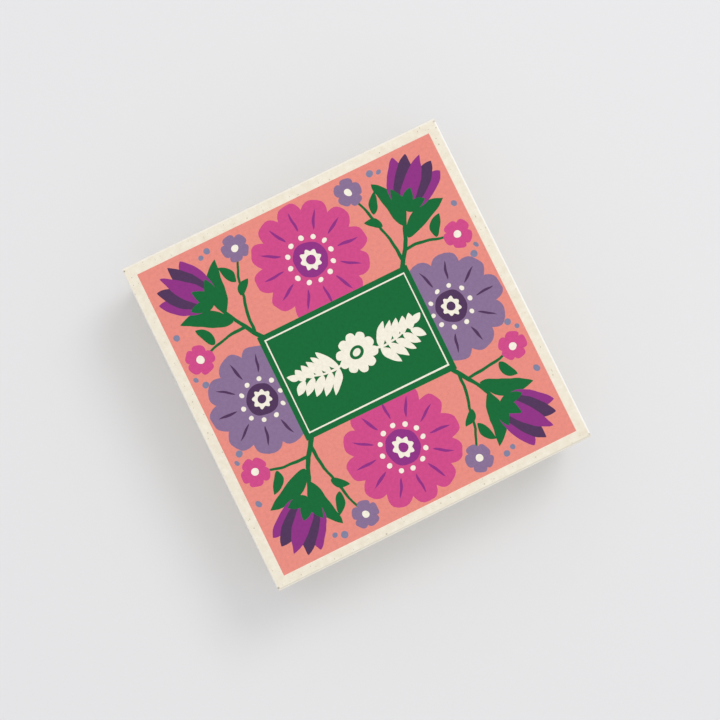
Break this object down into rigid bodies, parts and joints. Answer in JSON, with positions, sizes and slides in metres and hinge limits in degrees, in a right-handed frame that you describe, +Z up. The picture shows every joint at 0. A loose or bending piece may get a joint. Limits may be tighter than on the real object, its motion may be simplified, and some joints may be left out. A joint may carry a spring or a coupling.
{
  "type": "flower press",
  "caption": "Square screw press for drying flowers between plywood boards, corrugated card and blotting paper, packed in a lidded box of folded card with a printed top.",
  "frame": {"origin": "centre of the box's underside, on the surface it stands on", "axes": "+Z up through the lid, X along the box's width, Y along its length with the front at -Y"},
  "size_m": [0.1602, 0.164, 0.0512],
  "materials": {
    "carton_card": "matte",
    "lid_print": "matte",
    "plywood": "matte",
    "corrugated_kraft": "matte",
    "blotting_paper": "matte",
    "zinc_steel": "satin"
  },
  "bodies": {
    "box_base": {"box_base": "carton_card"},
    "press_base": {"bottom_board": "plywood", "coach_bolt_front_left": "zinc_steel", "coach_bolt_front_right": "zinc_steel", "coach_bolt_back_left": "zinc_steel", "coach_bolt_back_right": "zinc_steel", "corrugated_card_1": "corrugated_kraft", "blotting_sheet_1": "blotting_paper"},
    "layer_1": {"blotting_sheet_2": "blotting_paper", "corrugated_card_2": "corrugated_kraft", "blotting_sheet_3": "blotting_paper"},
    "layer_2": {"blotting_sheet_4": "blotting_paper", "corrugated_card_3": "corrugated_kraft", "blotting_sheet_5": "blotting_paper"},
    "layer_3": {"blotting_sheet_6": "blotting_paper", "corrugated_card_4": "corrugated_kraft", "blotting_sheet_7": "blotting_paper"},
    "layer_4": {"blotting_sheet_8": "blotting_paper", "corrugated_card_5": "corrugated_kraft"},
    "top_board": {"top_board": "plywood", "washer_front_left": "zinc_steel", "washer_front_right": "zinc_steel", "washer_back_left": "zinc_steel", "washer_back_right": "zinc_steel"},
    "wing_nut_front_left": {"wing_nut_front_left": "zinc_steel"},
    "wing_nut_front_right": {"wing_nut_front_right": "zinc_steel"},
    "wing_nut_back_left": {"wing_nut_back_left": "zinc_steel"},
    "wing_nut_back_right": {"wing_nut_back_right": "zinc_steel"},
    "box_lid": {"box_lid": "carton_card"}
  },
  "joints": [
    {"name": "press_lift", "type": "slide", "parent": "box_base", "child": "press_base", "axis": [0, 0, 1], "range_m": [0, 0.06]},
    {"name": "layer_1_rise", "type": "slide", "parent": "press_base", "child": "layer_1", "axis": [0, 0, 1], "range_m": [0, 0.0014]},
    {"name": "layer_2_rise", "type": "slide", "parent": "press_base", "child": "layer_2", "axis": [0, 0, 1], "range_m": [0, 0.0028]},
    {"name": "layer_3_rise", "type": "slide", "parent": "press_base", "child": "layer_3", "axis": [0, 0, 1], "range_m": [0, 0.0042]},
    {"name": "layer_4_rise", "type": "slide", "parent": "press_base", "child": "layer_4", "axis": [0, 0, 1], "range_m": [0, 0.0056]},
    {"name": "top_board_rise", "type": "slide", "parent": "press_base", "child": "top_board", "axis": [0, 0, 1], "range_m": [0, 0.007]},
    {"name": "wing_nut_front_left_turn", "type": "hinge", "parent": "top_board", "child": "wing_nut_front_left", "pos_m": [-0.06, -0.06, 0.0344], "axis": [0, 0, 1], "range_deg": [0, 2520]},
    {"name": "wing_nut_front_right_turn", "type": "hinge", "parent": "top_board", "child": "wing_nut_front_right", "pos_m": [0.06, -0.06, 0.0344], "axis": [0, 0, 1], "range_deg": [0, 2520]},
    {"name": "wing_nut_back_left_turn", "type": "hinge", "parent": "top_board", "child": "wing_nut_back_left", "pos_m": [-0.06, 0.06, 0.0344], "axis": [0, 0, 1], "range_deg": [0, 2520]},
    {"name": "wing_nut_back_right_turn", "type": "hinge", "parent": "top_board", "child": "wing_nut_back_right", "pos_m": [0.06, 0.06, 0.0344], "axis": [0, 0, 1], "range_deg": [0, 2520]},
    {"name": "lid_lift", "type": "slide", "parent": "top_board", "child": "box_lid", "axis": [0, 0, 1], "range_m": [0, 0.09]}
  ],
  "couplings": [
    {"joint": "layer_1_rise", "follows": "top_board_rise", "ratio": 0.2},
    {"joint": "layer_2_rise", "follows": "top_board_rise", "ratio": 0.4},
    {"joint": "layer_3_rise", "follows": "top_board_rise", "ratio": 0.6},
    {"joint": "layer_4_rise", "follows": "top_board_rise", "ratio": 0.8},
    {"joint": "wing_nut_front_left_turn", "follows": "top_board_rise", "rad_per_m": 6283.2},
    {"joint": "wing_nut_front_right_turn", "follows": "top_board_rise", "rad_per_m": 6283.2},
    {"joint": "wing_nut_back_left_turn", "follows": "top_board_rise", "rad_per_m": 6283.2},
    {"joint": "wing_nut_back_right_turn", "follows": "top_board_rise", "rad_per_m": 6283.2}
  ]
}
